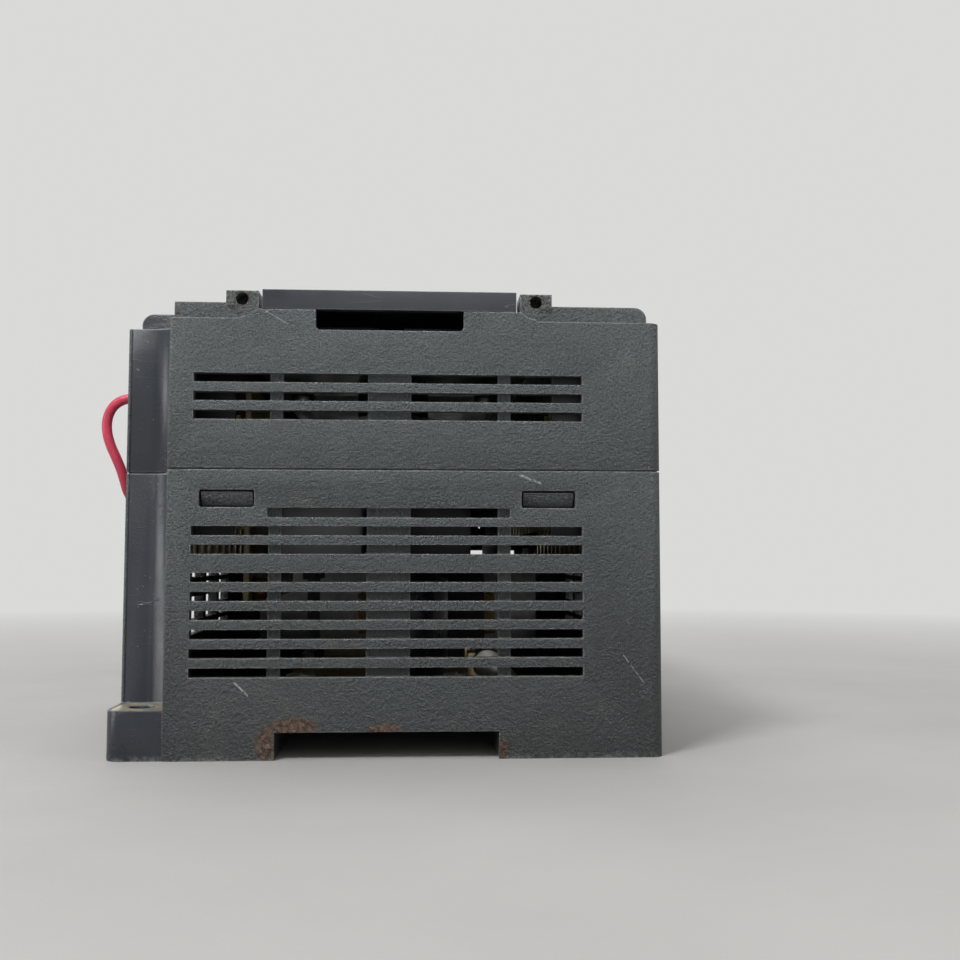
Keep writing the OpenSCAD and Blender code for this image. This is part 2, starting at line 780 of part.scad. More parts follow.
module programming_socket() color([0.08, 0.08, 0.09]) difference() {
    block([-14, -3], [43.5, 54.5], [main_top, main_top + 6.6]);
    translate([-8.5, 49, main_top + 1.2]) difference() {
        cylinder(h = 8, r = 4.5);
        translate([0, 0, -1]) cylinder(h = 4.5, r = 3.6);
        translate([-1.3, -4.6, -1]) cube([2.6, 1.6, 10]);
    }
    for (x = [-2.2, 0, 2.2], y = [-1.5, 1.2])
        translate([-8.5 + x, 49 + y, main_top + 1.5]) cylinder(h = 8, r = 0.5);
}

// Components on the wiring board
module relays() color([0.1, 0.1, 0.11]) for (i = [0:6])
    translate([3, -52 + i * 13.5, io_top]) {
        cube([11, 12, 15]);
        for (x = [1.5, 9.5], y = [1.5, 10.5]) translate([x, y, 15]) cylinder(h = 0.3, r = 0.6);
    }

module optocouplers() color([0.12, 0.12, 0.12]) for (i = [0:7])
    block([-15, -8.6], [-44 + i * 10, -39.4 + i * 10], [io_top, io_top + 3.5]);

module film_capacitors() color([0.5, 0.52, 0.5]) {
    block([-18.4, -4.6], [-57.5, -49], [io_top, io_top + 9.2]);
    block([-18.4, -4.6], [47, 55.5], [io_top, io_top + 9.2]);
}

module surge_suppressors() color([0.2, 0.3, 0.55]) for (y = [-20, -8, 4])
    translate([-3.5, y, io_top + 6.4]) rotate([90, 0, 0]) cylinder(h = 4, r = 5.2);

// Drum choke on the upright board
module choke_core() color([0.14, 0.13, 0.13]) translate([interface_x + interface_t, -51, 27]) {
    rotate([0, 90, 0]) {
        cylinder(h = 0.3, r = 2.2);
        cylinder(h = 2.9, r = 1);
        translate([0, 0, 2.5]) cylinder(h = 0.6, r = 2.2);
    }
}

module choke_winding() color([0.85, 0.45, 0.25]) translate([interface_x + interface_t, -51, 27])
    rotate([0, 90, 0]) difference() {
        translate([0, 0, 0.35]) cylinder(h = 2.1, r = 1.9);
        cylinder(h = 4, r = 1.02);
    }

// Components on the power board
module transformer_core() color([0.2, 0.2, 0.21]) difference() {
    block([-6, 20], [6, 34], [power_top, power_top + 19]);
    for (y = [[11, 17], [23, 29]])
        block([-7, 21], y, [power_top + 5, power_top + 14.6]);
}

module transformer_winding() color([0.8, 0.62, 0.2]) difference() {
    block([-9, 23], [11.2, 28.8], [power_top + 5.2, power_top + 14.4]);
    block([-10, 24], [16.9, 23.1], [power_top, power_top + 20]);
}

module bulk_capacitors() color([0.1, 0.12, 0.2]) for (y = [-26, -8])
    translate([3, y, power_top]) {
        cylinder(h = 18.5, r = 7.8);
        translate([0, 0, 18.5]) cylinder(h = 0.3, r = 6.8);
    }

module fuse() color([0.8, 0.85, 0.85]) translate([17, -52, power_top + 4.2]) rotate([-90, 0, 0])
    cylinder(h = 20, r = 2.6);

module fuse_clips() color([0.75, 0.65, 0.4]) for (y = [-51, -38])
    translate([17, y, power_top]) difference() {
        translate([-3.4, 0, 0]) cube([6.8, 5, 6]);
        translate([0, -1, 4.2]) rotate([-90, 0, 0]) cylinder(h = 7, r = 2.65);
        translate([-1.9, -1, 4]) cube([3.8, 7, 4]);
        translate([-2.4, -1, 0.5]) cube([4.8, 7, 1]);
    }

module heat_sink() color([0.72, 0.73, 0.75]) {
    block([-36, 36], [47, 49], [power_top, io_board_z - 0.4]);
    for (i = [0:15])
        block([-34.7 + i * 4.5, -33.3 + i * 4.5], [49, 55], [power_top + 3, power_top + 18]);
}

module power_transistor() color([0.06, 0.06, 0.06]) {
    block([-5, 5], [42.4, 47], [power_top + 6, power_top + 16]);
    for (x = [-2.5, 0, 2.5]) block([x - 0.4, x + 0.4], [44, 44.6], [power_top, power_top + 6]);
}

// Controls under the port flap
module run_stop_switch() color([0.85, 0.85, 0.82])
    translate([switch_at[0], switch_at[1], main_top]) difference() {
    translate([-2.2, -5, 0]) cube([4.4, 10, 4]);
    translate([-0.9, -1.2 - lever_travel, 1.2]) cube([1.8, 2.4 + 2 * lever_travel, 4]);
}

module run_stop_lever() color([0.1, 0.1, 0.1])
    translate([switch_at[0] - 0.85, switch_at[1] + lever_travel - 1, main_top + 1.3]) cube([1.7, 2, 5]);

module trimmer_bodies() color([0.2, 0.35, 0.6]) for (x = trimmer_x)
    translate([x, trimmer_y, main_top]) difference() {
        translate([-2.4, -2.4, 0]) cube([4.8, 4.8, 3.6]);
        translate([0, 0, 1.5]) cylinder(h = 4, r = trimmer_r + trimmer_fit);
    }

module trimmer_rotor(x) {
    translate([x, trimmer_y, main_top + 1.55]) difference() {
        cylinder(h = 2.9, r = trimmer_r);
        translate([-1.4, -0.3, 2.1]) cube([2.8, 0.6, 2]);
    }
}

module trimmer_rotor_a() color([0.92, 0.9, 0.85]) trimmer_rotor(trimmer_x[0]);
module trimmer_rotor_b() color([0.92, 0.9, 0.85]) trimmer_rotor(trimmer_x[1]);

// Rail latch with a hooked tip, side runners, a spring window and a pull slot
module din_latch() {
    y = [-latch_y - latch_w / 2, -latch_y + latch_w / 2];
    difference() {
        union() {
            block([latch_tip_x, latch_end_x], y + [1, -1], [latch_base, latch_t]);
            block([runner_x, latch_end_x], y, [runner_z, latch_t]);
        }
        // seat of the rail flange, and the lead-in below it
        block([latch_tip_x - 1, groove_half + 0.3], [-half_l, 0], [rail_seat_z, latch_t + 1]);
        translate([latch_tip_x, 0, latch_base]) rotate([0, 45, 0])
            cube([1.4, 3 * half_l, 1.4], center = true);
        block(spring_window, [-latch_y - 1.7, -latch_y + 1.7], [-1, latch_t + 1]);
        block([latch_end_x - 2.6, latch_end_x - 1], [-latch_y - 3, -latch_y + 3], [-1, latch_t + 1]);
    }
}

// Coils of a latch spring, drawn as closed rings
module latch_spring() {
    coil_pitch = (spring_x[1] - spring_x[0] - 2 * spring_wire_r) / spring_turns;
    for (i = [0:spring_turns])
        translate([spring_x[0] + spring_wire_r + i * coil_pitch, -latch_y, spring_z])
            rotate([0, 90, 0]) rotate_extrude() translate([spring_r, 0]) circle(spring_wire_r, $fn = 16);
}

module din_latch_near() color([0.07, 0.07, 0.07]) din_latch();
module din_latch_far() color([0.07, 0.07, 0.07]) mirror([0, 1, 0]) din_latch();
module latch_spring_near() color([0.7, 0.7, 0.72]) latch_spring();
module latch_spring_far() color([0.7, 0.7, 0.72]) mirror([0, 1, 0]) latch_spring();

lower_case();
upper_case();
front_cover();
extension_flap();
extension_flap_pin();
port_flap();
port_flap_pin();
name_plate();
lamp_lenses();
input_terminal_block();
output_terminal_block();
input_terminal_screws();
output_terminal_screws();
input_clamp_plates();
output_clamp_plates();
input_terminal_tabs();
output_terminal_tabs();
input_marker_strip();
output_marker_strip();
red_jumper_wire();
jumper_lugs();
main_board();
io_board();
power_board();
interface_board();
board_headers();
board_screws();
processor_chip();
memory_chips();
status_lamps();
backup_capacitor();
extension_connector();
programming_socket();
relays();
optocouplers();
film_capacitors();
surge_suppressors();
choke_core();
choke_winding();
transformer_core();
transformer_winding();
bulk_capacitors();
fuse();
fuse_clips();
heat_sink();
power_transistor();
run_stop_switch();
run_stop_lever();
trimmer_bodies();
trimmer_rotor_a();
trimmer_rotor_b();
din_latch_near();
din_latch_far();
latch_spring_near();
latch_spring_far();
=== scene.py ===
"""Looks of a compact brick controller module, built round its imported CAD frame."""

import json
import math

import bmesh
import bpy
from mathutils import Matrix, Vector


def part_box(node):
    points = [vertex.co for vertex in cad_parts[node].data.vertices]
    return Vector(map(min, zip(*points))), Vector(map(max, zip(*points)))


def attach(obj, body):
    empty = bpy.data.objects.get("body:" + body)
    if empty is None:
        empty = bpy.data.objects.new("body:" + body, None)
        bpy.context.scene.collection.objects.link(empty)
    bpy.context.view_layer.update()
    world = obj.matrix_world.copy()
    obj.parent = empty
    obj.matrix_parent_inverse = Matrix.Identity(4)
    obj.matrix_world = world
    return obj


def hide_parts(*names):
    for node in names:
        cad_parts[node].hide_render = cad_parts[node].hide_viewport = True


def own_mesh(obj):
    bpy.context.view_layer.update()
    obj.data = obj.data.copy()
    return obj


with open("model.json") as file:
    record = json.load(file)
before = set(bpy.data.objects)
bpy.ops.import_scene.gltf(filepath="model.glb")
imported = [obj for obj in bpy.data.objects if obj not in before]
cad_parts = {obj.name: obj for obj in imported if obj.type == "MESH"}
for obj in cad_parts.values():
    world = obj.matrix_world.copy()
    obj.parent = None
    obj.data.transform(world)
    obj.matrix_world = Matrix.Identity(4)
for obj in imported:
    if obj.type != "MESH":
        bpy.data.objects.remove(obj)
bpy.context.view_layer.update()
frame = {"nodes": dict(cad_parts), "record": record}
nodes = frame["nodes"]
MM = 0.001

# ---------------------------------------------------------------- camera and cord

CAMERA_AT = (4.5, -247.1, 32.3)
CAMERA_TURN = (94.01, -0.06, -3.27)
CAMERA_LENS = 41.8

# the route of the jumper wire, as in the CAD part, in millimetres
WIRE_ROUTE = [
    (-47.5, -17.8, 64.6), (-50, -17.8, 64.7), (-52.5, -17.8, 64.8), (-54.8, -17.8, 64.5),
    (-56.7, -17.8, 63.5), (-57.9, -17.8, 61.8), (-58.4, -17.8, 59.6), (-58.2, -17.8, 57.2),
    (-57.5, -17.7, 54.9), (-56.5, -17.5, 52.6), (-55.6, -17.1, 50.3), (-55, -16.4, 48),
    (-54.6, -15.3, 45.9), (-54, -13.6, 44.3), (-53.3, -11.5, 43.4), (-52.5, -9.2, 43.4),
    (-51.8, -7.1, 44.3), (-51.2, -5.4, 45.9), (-50.8, -4.2, 48), (-50.8, -3.4, 50.4),
    (-51.1, -3, 52.9), (-51.6, -2.8, 55.3), (-52.1, -2.8, 57.6), (-52.4, -2.8, 59.9),
    (-51.9, -2.8, 61.9), (-50.8, -2.8, 63.5), (-49.3, -2.8, 64.4), (-47.5, -2.8, 64.6),
]
WIRE_DIAMETER = 2


def make_camera():
    data = bpy.data.cameras.new("camera")
    data.lens = CAMERA_LENS
    data.clip_start = 0.01
    camera = bpy.data.objects.new("camera", data)
    bpy.context.scene.collection.objects.link(camera)
    camera.location = Vector(CAMERA_AT) * MM
    camera.rotation_euler = [math.radians(a) for a in CAMERA_TURN]
    bpy.context.scene.camera = camera


def smooth_route(points, steps=4):
    """Points of a Catmull-Rom curve through the route, in millimetres."""
    points = [Vector(p) for p in points]
    ends = [2 * points[0] - points[1], *points, 2 * points[-1] - points[-2]]
    route = []
    for before, start, end, after in zip(ends, ends[1:], ends[2:], ends[3:]):
        for i in range(steps):
            t = i / steps
            route.append(0.5 * (2 * start + (end - before) * t
                                + (2 * before - 5 * start + 4 * end - after) * t ** 2
                                + (3 * start - before - 3 * end + after) * t ** 3))
    return route + [points[-1]]


def tube(name, points, radius, sides=8):
    """A closed round tube through the points, both in millimetres."""
    mesh = bmesh.new()
    rings = []
    side = None
    for i, point in enumerate(points):
        ahead = Vector(points[min(i + 1, len(points) - 1)])
        behind = Vector(points[max(i - 1, 0)])
        along = (ahead - behind).normalized()
        side = along.orthogonal() if side is None else side - along * side.dot(along)
        side.normalize()
        other = along.cross(side)
        ring = []
        for k in range(sides):
            turn = 2 * math.pi * k / sides
            offset = side * math.cos(turn) + other * math.sin(turn)
            ring.append(mesh.verts.new((Vector(point) + offset * radius) * MM))
        rings.append(ring)
    for near, far in zip(rings, rings[1:]):
        for k in range(sides):
            mesh.faces.new((near[k], near[(k + 1) % sides], far[(k + 1) % sides], far[k]))
    mesh.faces.new(reversed(rings[0]))
    mesh.faces.new(rings[-1])
    bmesh.ops.recalc_face_normals(mesh, faces=mesh.faces)
    for face in mesh.faces:
        face.smooth = len(face.verts) == 4
    data = bpy.data.meshes.new(name)
    mesh.to_mesh(data)
    mesh.free()
    piece = bpy.data.objects.new(name, data)
    bpy.context.scene.collection.objects.link(piece)
    return piece


def make_jumper_wire():
    route = smooth_route(WIRE_ROUTE)
    wire = tube("jumper_wire", route, WIRE_DIAMETER / 2, 20)
    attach(wire, "case")
    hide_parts("red_jumper_wire")
    return wire


make_camera()
jumper_wire = make_jumper_wire()

# ---------------------------------------------------------------- material toolkit

# printed shapes, in millimetres: softness of their outline, shift of lines between fields
SHARP = 0.03
DIVISION_SHIFT = 0.3


class Surface:
    """One procedural material: each method adds nodes and returns an output socket."""

    def __init__(self, name, roughness=0.5, metallic=0.0, **uniform):
        self.material = bpy.data.materials.new(name)
        self.material.use_nodes = True
        self.tree = self.material.node_tree
        self.shader = self.tree.nodes["Principled BSDF"]
        self.shader.inputs["Roughness"].default_value = roughness
        self.shader.inputs["Metallic"].default_value = metallic
        for key, value in uniform.items():
            self.shader.inputs[key.replace("_", " ")].default_value = value
        coordinates = self.tree.nodes.new("ShaderNodeTexCoord")
        self.place = coordinates.outputs["Object"]
        self.normal = coordinates.outputs["Normal"]

    def put(self, socket, value):
        if isinstance(value, bpy.types.NodeSocket):
            self.tree.links.new(value, socket)
        elif socket.type == "RGBA":
            socket.default_value = (*value[:3], 1)
        else:
            socket.default_value = value

    def node(self, kind, inputs, output=0, **settings):
        """A node of that kind; inputs maps a socket's name or index to a value or a socket."""
        made = self.tree.nodes.new(kind)
        for key, value in settings.items():
            setattr(made, key, value)
        for key, value in inputs.items():
            self.put(made.inputs[key], value)
        return made.outputs[output]

    def stretched(self, stretch=(1, 1, 1), turn=(0, 0, 0)):
        return self.node("ShaderNodeMapping", {"Vector": self.place, "Scale": stretch,
                                               "Rotation": [math.radians(a) for a in turn]})

    def noise(self, size, detail=2.0, roughness=0.5, place=None):
        """Soft noise from 0 to 1 whose features are about size millimetres across."""
        return self.node("ShaderNodeTexNoise",
                         {"Vector": place or self.place, "Scale": 1 / (size * MM),
                          "Detail": detail, "Roughness": roughness})

    def cells(self, size, feature="F1", randomness=1.0):
        """Distance to the nearest of scattered points about size millimetres apart."""
        return self.node("ShaderNodeTexVoronoi",
                         {"Vector": self.place, "Scale": 1 / (size * MM),
                          "Randomness": randomness}, "Distance", feature=feature)

    def vary(self, low, high, size, detail=2.0, roughness=0.5):
        """A value that wanders between low and high over about size millimetres."""
        return self.span(self.noise(size, detail, roughness), 0.3, 0.7, low, high)

    def mottle(self, base, size, low=0.85, high=1.15, detail=4.0):
        """The base colour in soft darker and paler patches."""
        return self.mix(self.vary(0.0, 1.0, size, detail, 0.6), shade(base, low), shade(base, high))

    def dusted(self, tone, size, most, low=0.5, high=0.8, detail=6.0):
        """The tone under drifts of dust, at most that strong."""
        return self.mix(self.span(self.noise(size, detail, 0.7), low, high, 0.0, most), tone, DUST)

    def math(self, operation, a, b=0.0, c=0.0):
        return self.node("ShaderNodeMath", {0: a, 1: b, 2: c}, operation=operation)

    def span(self, value, low, high, to_low=0.0, to_high=1.0):
        """The value, taken from low..high to to_low..to_high and held at both ends."""
        return self.node("ShaderNodeMapRange", {"Value": value, "From Min": low, "From Max": high,
                                                "To Min": to_low, "To Max": to_high})

    def mix(self, share, a, b, blend="MIX"):
        made = self.tree.nodes.new("ShaderNodeMix")
        made.data_type = "RGBA"
        made.blend_type = blend
        self.put(made.inputs[0], share)
        self.put(made.inputs[6], a)
        self.put(made.inputs[7], b)
        return made.outputs[2]

    def axis(self, name, vector=None):
        return self.node("ShaderNodeSeparateXYZ", {0: vector or self.place}, "XYZ".index(name))

    def all_of(self, *masks):
        result = masks[0]
        for mask in masks[1:]:
            result = self.math("MULTIPLY", result, mask)
        return result

    def any_of(self, *masks):
        result = masks[0]
        for mask in masks[1:]:
            result = self.math("MAXIMUM", result, mask)
        return result

    def between(self, value, low, high, soft=0.2):
        """1 where the value, in metres, lies between low and high millimetres."""
        rise = self.span(value, (low - soft) * MM, (low + soft) * MM)
        fall = self.span(value, (high - soft) * MM, (high + soft) * MM, 1.0, 0.0)
        return self.math("MULTIPLY", rise, fall)

    def rectangle(self, left, right, bottom, top):
        """1 inside a sharp rectangle seen from above, in millimetres."""
        return self.all_of(self.between(self.axis("X"), left, right, SHARP),
                           self.between(self.axis("Y"), bottom, top, SHARP))

    def divisions(self, pitch, half_width):
        """1 along fine lines across the Y axis, one every pitch, in millimetres."""
        step = self.math("PINGPONG", self.math("ADD", self.axis("Y"), DIVISION_SHIFT * MM),
                         pitch * MM / 2)
        return self.span(step, half_width * MM, (half_width + 0.08) * MM, 1.0, 0.0)

    def edges(self, radius, low=0.03, high=0.25):
        """1 on edges sharper than the radius in millimetres."""
        rounded = self.node("ShaderNodeBevel", {"Radius": radius * MM}, samples=4)
        flat = self.node("ShaderNodeNewGeometry", {}, "Normal")
        dot = self.node("ShaderNodeVectorMath", {0: rounded, 1: flat}, "Value",
                        operation="DOT_PRODUCT")
        return self.span(self.math("SUBTRACT", 1.0, dot), low, high)

    def painted_highlights(self, radius):
        """1 along edges that turn upwards or to the left, towards the key light, where the case gets
        painted highlights.
        """
        rounded = self.node("ShaderNodeBevel", {"Radius": radius * MM}, samples=6)
        lean = self.node("ShaderNodeVectorMath", {0: rounded, 1: (-0.5, 0, 0.85)}, "Value",
                         operation="DOT_PRODUCT")
        largest = self.any_of(*(self.math("ABSOLUTE", self.axis(name, rounded))
                                for name in "XYZ"))
        return self.all_of(self.span(lean, 0.08, 0.25), self.span(largest, 0.93, 0.99, 1.0, 0.0),
                           self.edges(radius, 0.012, 0.04))

    def spot(self, at, radius, ragged, squeeze=(1, 1, 1)):
        """1 within a ragged patch about a point, both in millimetres."""
        offset = self.node("ShaderNodeVectorMath", {0: self.place, 1: Vector(at) * MM},
                           operation="SUBTRACT")
        offset = self.node("ShaderNodeVectorMath", {0: offset, 1: squeeze}, operation="MULTIPLY")
        distance = self.node("ShaderNodeVectorMath", {0: offset}, "Value", operation="LENGTH")
        wobble = self.math("MULTIPLY", self.noise(radius * 0.3, 5.0, 0.7), ragged * 2 * radius * MM)
        reach = self.math("SUBTRACT", self.math("ADD", distance, wobble), ragged * radius * MM)
        return self.span(reach, radius * 0.7 * MM, radius * 0.95 * MM, 1.0, 0.0)

    def stroke(self, start, end, width):
        """1 along a thin worn scratch from start to end, in millimetres."""
        start, end = Vector(start), Vector(end)
        length = (end - start).length * MM
        way = (end - start).normalized()
        offset = self.node("ShaderNodeVectorMath", {0: self.place, 1: start * MM},
                           operation="SUBTRACT")
        run = self.node("ShaderNodeVectorMath", {0: offset, 1: way}, "Value",
                        operation="DOT_PRODUCT")
        run = self.span(run, 0.0, length, 0.0, length)
        nearest = self.node("ShaderNodeVectorMath", {0: way, "Scale": run}, operation="SCALE")
        apart = self.node("ShaderNodeVectorMath", {0: offset, 1: nearest}, "Value",
                          operation="DISTANCE")
        line = self.span(apart, 0.3 * width * MM, width * MM, 1.0, 0.0)
        return self.math("MULTIPLY", line, self.span(self.noise(0.7, 3.0, 0.7), 0.35, 0.55))

    def scratches(self, size, width, turn):
        """Thin straight marks, long along one turned direction."""
        stretch = 14
        along = self.stretched((1, stretch, stretch), turn)
        lines = self.noise(size * stretch, 1.0, 0.4, along)
        ridge = self.math("ABSOLUTE", self.math("SUBTRACT", lines, 0.5))
        line = self.span(ridge, 0.0, width, 1.0, 0.0)
        return self.math("MULTIPLY", line, self.span(self.noise(size * 2.2, 1.0), 0.56, 0.66))

    def bump(self, height, depth, under=None):
        """Raises the surface by the height times the depth in millimetres."""
        made = self.tree.nodes.new("ShaderNodeBump")
        made.inputs["Distance"].default_value = depth * MM
        self.tree.links.new(height, made.inputs["Height"])
        if under is not None:
            self.tree.links.new(under, made.inputs["Normal"])
        return made.outputs["Normal"]

    def finish(self, colour, roughness=None, normal=None, metallic=None):
        self.put(self.shader.inputs["Base Color"], colour)
        if roughness is not None:
            self.put(self.shader.inputs["Roughness"], roughness)
        if normal is not None:
            self.put(self.shader.inputs["Normal"], normal)
        if metallic is not None:
            self.put(self.shader.inputs["Metallic"], metallic)
        return self.material


def shade(colour, factor):
    return tuple(min(1.0, channel * factor) for channel in colour)


# ---------------------------------------------------------------- materials

PANEL = (0.054, 0.063, 0.063)
BLUISH = (0.057, 0.066, 0.074)
# pale rubbed plastic; made brighter, it is also the colour of the painted highlights on the case's
# edges
WORN_AND_HIGHLIGHT = (0.21, 0.225, 0.22)
DUST = (0.34, 0.33, 0.28)
RUST = (0.080, 0.044, 0.026)
GRIME = (0.045, 0.037, 0.028)

# the case, in millimetres
HALF_WIDTH, HALF_LENGTH = 90 / 2, 130 / 2
NOTCH_X, NOTCH_Y = HALF_WIDTH - 9.1, HALF_LENGTH - 10.3
FOOT_HEIGHT = 8

# worn strokes on the near end: both ends, each across and up, and the width
STROKES = [
    ((-24.4, 12.3), (-22.3, 10.3), 0.22), ((21.5, 45.9), (24.8, 44.6), 0.28),
    ((-20.3, 72.7), (-16.8, 70.6), 0.14), ((38.4, 16.5), (41.8, 11.9), 0.14),
]
# patches on the near end: place across and up, radius, raggedness and squeeze
CRUSTS = [
    ((-14.8, 5.4), 1.8, 0.8, (0.40, 1, 1.15)), ((-19.3, 2.6), 1.9, 0.8, (1.0, 1, 0.55)),
    ((-0.5, 4.9), 1.3, 0.9, (0.4, 1, 1.3)), ((18.6, 1.6), 1.2, 0.9, (1.1, 1, 0.6)),
]
GRIMES = [
    ((-24.2, 74.8), 1.9, 0.7), ((-26.15, 73.95), 0.8, 0.2), ((26.15, 73.95), 0.8, 0.2),
    ((24.2, 74.8), 1.9, 0.7), ((-36.0, 72.4), 1.5, 1.0, (0.6, 1, 1.4)),
]


def near_end(across, up):
    return (across, -HALF_LENGTH, up)


def end_spots(s, rows):
    """1 within any of the spots on the near end."""
    return s.any_of(*(s.spot(near_end(*at), *shape) for at, *shape in rows))


def notch_mask(s):
    """1 on the smooth walls inside the two corner notches, and on the feet below them."""
    x = s.math("ABSOLUTE", s.axis("X"))
    y = s.math("ABSOLUTE", s.axis("Y"))
    same_sign = s.math("MULTIPLY", s.axis("X"), s.axis("Y"))
    inside = s.all_of(s.between(x, NOTCH_X - 0.5, HALF_WIDTH - 0.6),
                      s.between(y, NOTCH_Y - 0.5, HALF_LENGTH - 0.7),
                      s.math("GREATER_THAN", same_sign, 0.0))
    foot = s.all_of(s.math("GREATER_THAN", x, NOTCH_X * MM),
                    s.math("GREATER_THAN", y, NOTCH_Y * MM),
                    s.math("LESS_THAN", s.axis("Z"), (FOOT_HEIGHT - 0.1) * MM),
                    s.math("GREATER_THAN", same_sign, 0.0))
    return s.any_of(inside, foot)


def moulded_tone(s, grain, blotch):
    """Grainy grey plastic, darker towards the foot, where less light falls in the photo."""
    cloud = s.noise(38, 3.0, 0.6)
    tone = s.mix(s.span(blotch, 0.3, 0.7), shade(PANEL, 0.88), shade(PANEL, 1.12))
    tone = s.mix(s.span(cloud, 0.35, 0.65), tone, s.mix(0.5, tone, BLUISH))
    tone = s.mix(s.span(grain, 0.33, 0.50, 0.6, 0.0), tone, shade(PANEL, 0.35))
    tone = s.mix(s.span(grain, 0.50, 0.67, 0.0, 0.6), tone, shade(PANEL, 2.1))
    lower = s.span(s.axis("Z"), 18 * MM, 56 * MM, 0.54, 0.0)
    return s.mix(lower, tone, shade(PANEL, 0.35))


def chalk(s, tone, upward):
    """Chalky dust on the ledges and in faint drifts on the panels."""
    drift = s.span(s.noise(6, 5.0, 0.75), 0.55, 0.8, 0.0, 0.10)
    ledge = s.all_of(upward, s.span(s.noise(2.5, 5.0, 0.7), 0.35, 0.65, 0.08, 0.45))
    return s.mix(s.any_of(drift, ledge), tone, DUST)


def worn_and_lit_edges(s, tone):
    """Worn edges, painted highlights along the edges that face the key light, and a chipped foot."""
    wear = s.all_of(s.edges(0.45), s.span(s.noise(1.3, 4.0, 0.7), 0.26, 0.6, 0.15, 1.0))
    tone = s.mix(s.math("MULTIPLY", wear, 0.6), tone, WORN_AND_HIGHLIGHT)
    # painted highlight: pale lines on the edges that turn up and to the left, towards the key light
    painted_highlights = s.math("MULTIPLY", s.painted_highlights(0.4), s.span(s.noise(1.7, 4.0, 0.7), 0.3, 0.6, 0.5, 1.0))
    tone = s.mix(s.math("MULTIPLY", painted_highlights, 0.95), tone, shade(WORN_AND_HIGHLIGHT, 1.25))
    chipped = s.all_of(s.span(s.axis("Z"), 0.1 * MM, 1.1 * MM, 1.0, 0.0),
                       s.span(s.noise(0.9, 4.0, 0.7), 0.45, 0.6))
    return s.mix(s.math("MULTIPLY", chipped, 0.6), tone, WORN_AND_HIGHLIGHT)


def soil(s, tone, crust, crack, upward):
    """Rusty crust round the groove, grime about the lugs, thick cream dust on the feet."""
    rust = s.mix(s.span(crack, 0.42, 0.58), shade(RUST, 0.15), shade(RUST, 1.7))
    tone = s.mix(s.math("MULTIPLY", crust, 0.92), tone, rust)
    tone = s.mix(s.math("MULTIPLY", end_spots(s, GRIMES), 0.7), tone, GRIME)
    foot_top = s.all_of(upward, s.between(s.axis("Z"), FOOT_HEIGHT - 1, FOOT_HEIGHT + 0.5))
    thick = s.span(s.noise(3, 4.0, 0.65), 0.3, 0.6, 0.35, 0.95)
    return s.mix(s.all_of(foot_top, thick), tone, (0.24, 0.215, 0.155))


def case_plastic(name):
    s = Surface(name, roughness=0.5)
    smooth = notch_mask(s)
    upward = s.span(s.axis("Z", s.normal), 0.6, 0.95)
    grain = s.noise(0.26, 2.0, 0.5)
    pits = s.cells(0.5, feature="SMOOTH_F1")
    texture = s.math("ADD", grain, s.math("MULTIPLY", pits, 0.7))
    blotch = s.noise(11, 4.0, 0.6)
    specks = s.all_of(s.span(s.cells(1.1), 0.05, 0.12, 1.0, 0.0),
                      s.math("GREATER_THAN", s.noise(6, 2.0), 0.53))
    marks = s.any_of(s.scratches(1.6, 0.005, (0, 38, 0)), s.scratches(2.1, 0.004, (0, -62, 20)))
    strokes = s.any_of(*(s.stroke(near_end(*start), near_end(*end), width)
                         for start, end, width in STROKES))
    crust = end_spots(s, CRUSTS)
    crack = s.noise(0.7, 5.0, 0.75)

    tone = chalk(s, moulded_tone(s, grain, blotch), upward)
    tone = s.mix(smooth, tone, s.mix(s.span(blotch, 0.3, 0.7), (0.017, 0.020, 0.026),
                                     (0.022, 0.026, 0.033)))
    tone = s.mix(s.math("MULTIPLY", specks, 0.6), tone, WORN_AND_HIGHLIGHT)
    tone = s.mix(s.math("MULTIPLY", marks, 0.3), tone, WORN_AND_HIGHLIGHT)
    tone = s.mix(s.math("MULTIPLY", strokes, 0.75), tone, (0.36, 0.37, 0.37))
    tone = soil(s, worn_and_lit_edges(s, tone), crust, crack, upward)

    roughness = s.math("ADD", s.vary(0.44, 0.58, 6, 4.0, 0.6), s.math("MULTIPLY", smooth, -0.17))
    amount = s.span(smooth, 0, 1, 1.0, 0.06)
    bump = s.bump(s.math("MULTIPLY", texture, amount), 0.42)
    bump = s.bump(s.any_of(marks, specks, strokes, s.math("MULTIPLY", crust, crack)), 0.08, bump)
    return s.finish(tone, roughness, bump)


def cover_plastic(name):
    s = Surface(name, roughness=0.36)
    tone = s.mottle((0.026, 0.030, 0.037), 9)
    upward = s.span(s.axis("Z", s.normal), 0.6, 0.95)
    haze = s.all_of(upward, s.span(s.noise(3, 6.0, 0.7), 0.35, 0.85, 0.05, 0.24))
    tone = s.mix(haze, tone, DUST)
    marks = s.any_of(s.scratches(1.9, 0.005, (0, 0, 35)), s.scratches(2.4, 0.004, (15, 0, -58)))
    tone = s.mix(s.math("MULTIPLY", marks, 0.4), tone, WORN_AND_HIGHLIGHT)
    wear = s.all_of(s.edges(0.4), s.span(s.noise(1.1, 4.0, 0.7), 0.28, 0.55))
    tone = s.mix(s.math("MULTIPLY", wear, 0.8), tone, WORN_AND_HIGHLIGHT)
    roughness = s.vary(0.28, 0.46, 4, 5.0, 0.65)
    ripple = s.bump(s.noise(0.5, 3.0), 0.02)
    return s.finish(tone, roughness, s.bump(marks, 0.015, ripple))


